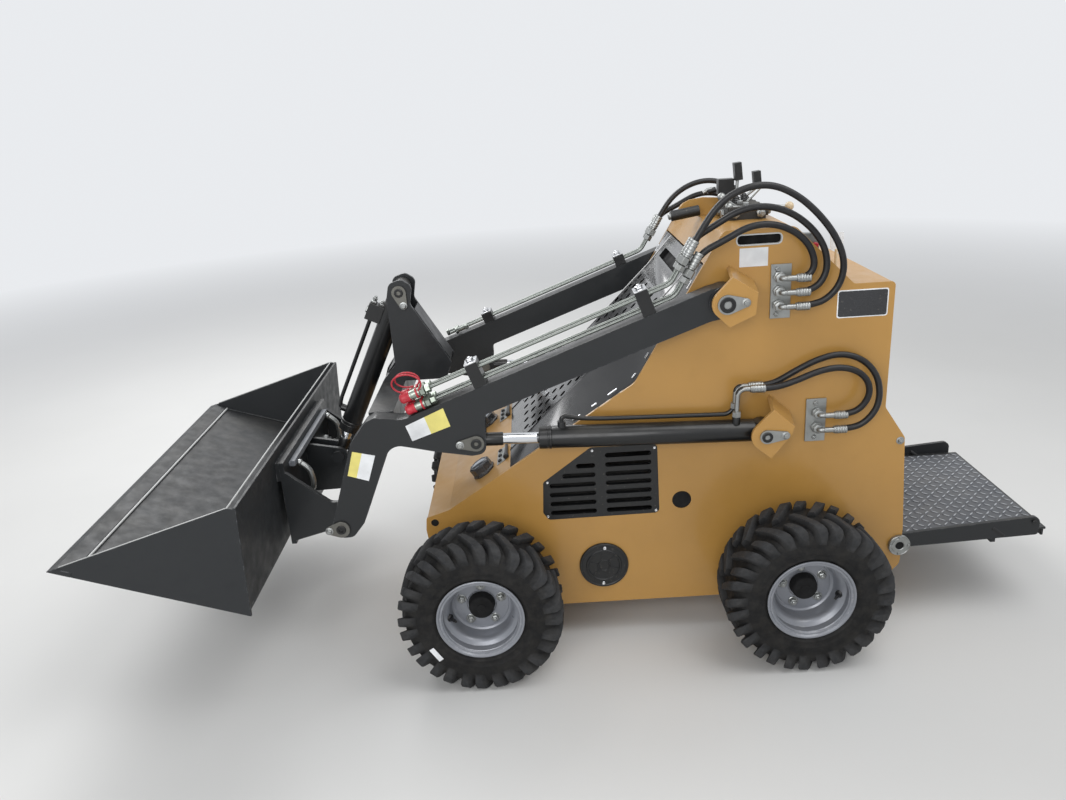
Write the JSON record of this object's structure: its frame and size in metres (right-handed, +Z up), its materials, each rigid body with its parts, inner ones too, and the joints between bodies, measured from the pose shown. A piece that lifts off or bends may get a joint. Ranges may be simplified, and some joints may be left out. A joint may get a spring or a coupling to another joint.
{
  "type": "compact stand-on skid steer loader",
  "caption": "Compact stand-on skid steer loader with a radial lift boom, an open bucket, lugged tyres and a fold-up operator platform.",
  "frame": {"origin": "on the ground, below the middle of the whole machine", "axes": "+X forward towards the bucket, +Y to the machine's left, +Z up"},
  "size_m": [2.696, 1.2, 1.3159],
  "materials": {
    "gold_paint": "satin paint, scuffed",
    "grey_paint": "semi-gloss paint, worn to bare steel",
    "black_paint": "gloss paint",
    "rim_paint": "silver paint",
    "tyre_rubber": "moulded rubber",
    "hose_rubber": "smooth rubber cover",
    "zinc": "zinc plated",
    "chrome": "polished",
    "black_plastic": "moulded",
    "cast_iron": "as cast, painted",
    "red_plastic": "dust caps",
    "lamp_black": "lamp body"
  },
  "bodies": {
    "chassis": {"side_panel_left": "gold_paint", "side_panel_right": "gold_paint", "belly_plate": "gold_paint", "front_wall": "gold_paint", "nose_cover": "gold_paint", "hood_cover": "black_paint", "console_cover": "gold_paint", "rear_wall": "gold_paint", "side_vents": "black_plastic", "access_caps": "black_plastic", "engine_block": "cast_iron", "head_lamps": "lamp_black", "axle_housings": "cast_iron", "pivot_brackets": "gold_paint", "pivot_pins": "zinc", "hose_bulkheads": "gold_paint", "valve_bank": "black_paint", "control_levers": "black_plastic", "platform_hinges": "gold_paint", "boom_hoses": "hose_rubber", "lift_hoses": "hose_rubber"},
    "boom": {"arm_left": "grey_paint", "arm_right": "grey_paint", "cross_tube": "grey_paint", "arm_pins": "grey_paint", "tilt_tower": "grey_paint", "tilt_pin": "zinc", "boom_lines": "zinc", "line_clamps": "black_plastic", "couplers": "red_plastic"},
    "lift_barrel_left": {"lift_barrel_left": "black_paint"},
    "lift_barrel_right": {"lift_barrel_right": "black_paint"},
    "lift_rod_left": {"lift_rod_left": "chrome"},
    "lift_rod_right": {"lift_rod_right": "chrome"},
    "tilt_barrel": {"tilt_barrel": "black_paint"},
    "tilt_rod": {"tilt_rod": "chrome"},
    "attachment": {"quick_attach": "grey_paint", "attach_levers": "chrome", "bucket": "grey_paint", "cutting_edge": "grey_paint"},
    "platform": {"platform": "grey_paint"},
    "wheel_front_left": {"tyre_front_left": "tyre_rubber", "rim_front_left": "rim_paint"},
    "wheel_front_right": {"tyre_front_right": "tyre_rubber", "rim_front_right": "rim_paint"},
    "wheel_rear_left": {"tyre_rear_left": "tyre_rubber", "rim_rear_left": "rim_paint"},
    "wheel_rear_right": {"tyre_rear_right": "tyre_rubber", "rim_rear_right": "rim_paint"}
  },
  "joints": [
    {"name": "wheel_front_left_spin", "type": "hinge", "parent": "chassis", "child": "wheel_front_left", "pos_m": [0.288, 0.4535, 0.224], "axis": [0, 1, 0], "continuous": true},
    {"name": "wheel_front_right_spin", "type": "hinge", "parent": "chassis", "child": "wheel_front_right", "pos_m": [0.288, -0.4535, 0.224], "axis": [0, 1, 0], "continuous": true},
    {"name": "wheel_rear_left_spin", "type": "hinge", "parent": "chassis", "child": "wheel_rear_left", "pos_m": [-0.592, 0.4535, 0.224], "axis": [0, 1, 0], "continuous": true},
    {"name": "wheel_rear_right_spin", "type": "hinge", "parent": "chassis", "child": "wheel_rear_right", "pos_m": [-0.592, -0.4535, 0.224], "axis": [0, 1, 0], "continuous": true},
    {"name": "boom_lift", "type": "hinge", "parent": "chassis", "child": "boom", "pos_m": [-0.388, 0, 1.005], "axis": [0, -1, 0], "range_deg": [-15, 68], "deforming": ["boom_hoses", "lift_hoses"]},
    {"name": "bucket_tilt", "type": "hinge", "parent": "boom", "child": "attachment", "pos_m": [0.663, 0, 0.432], "axis": [0, 1, 0], "range_deg": [-15, 95]},
    {"name": "lift_swing_left", "type": "hinge", "parent": "chassis", "child": "lift_barrel_left", "pos_m": [-0.498, 0.335, 0.641], "axis": [0, -1, 0], "range_deg": [-12, 52]},
    {"name": "lift_extend_left", "type": "slide", "parent": "lift_barrel_left", "child": "lift_rod_left", "axis": [0.9996, 0, 0.0286], "range_m": [-0.08, 0.34]},
    {"name": "lift_swing_right", "type": "hinge", "parent": "chassis", "child": "lift_barrel_right", "pos_m": [-0.498, -0.335, 0.641], "axis": [0, -1, 0], "range_deg": [-12, 52]},
    {"name": "lift_extend_right", "type": "slide", "parent": "lift_barrel_right", "child": "lift_rod_right", "axis": [0.9996, 0, 0.0286], "range_m": [-0.08, 0.34]},
    {"name": "tilt_swing", "type": "hinge", "parent": "boom", "child": "tilt_barrel", "pos_m": [0.48, 0, 1.016], "axis": [0, -1, 0], "range_deg": [-6, 3]},
    {"name": "tilt_extend", "type": "slide", "parent": "tilt_barrel", "child": "tilt_rod", "axis": [0.4415, 0, -0.8973], "range_m": [-0.03, 0.145]},
    {"name": "platform_fold", "type": "hinge", "parent": "chassis", "child": "platform", "pos_m": [-0.911, 0, 0.244], "axis": [0, 1, 0], "range_deg": [0, 88]}
  ],
  "couplings": [
    {"joint": "lift_swing_left", "follows": "boom_lift", "ratio": 0.745},
    {"joint": "lift_extend_left", "follows": "boom_lift", "m_per_rad": 0.28075},
    {"joint": "lift_swing_right", "follows": "boom_lift", "ratio": 0.745},
    {"joint": "lift_extend_right", "follows": "boom_lift", "m_per_rad": 0.28075},
    {"joint": "tilt_swing", "follows": "bucket_tilt", "ratio": -0.035},
    {"joint": "tilt_extend", "follows": "bucket_tilt", "m_per_rad": 0.08348}
  ]
}
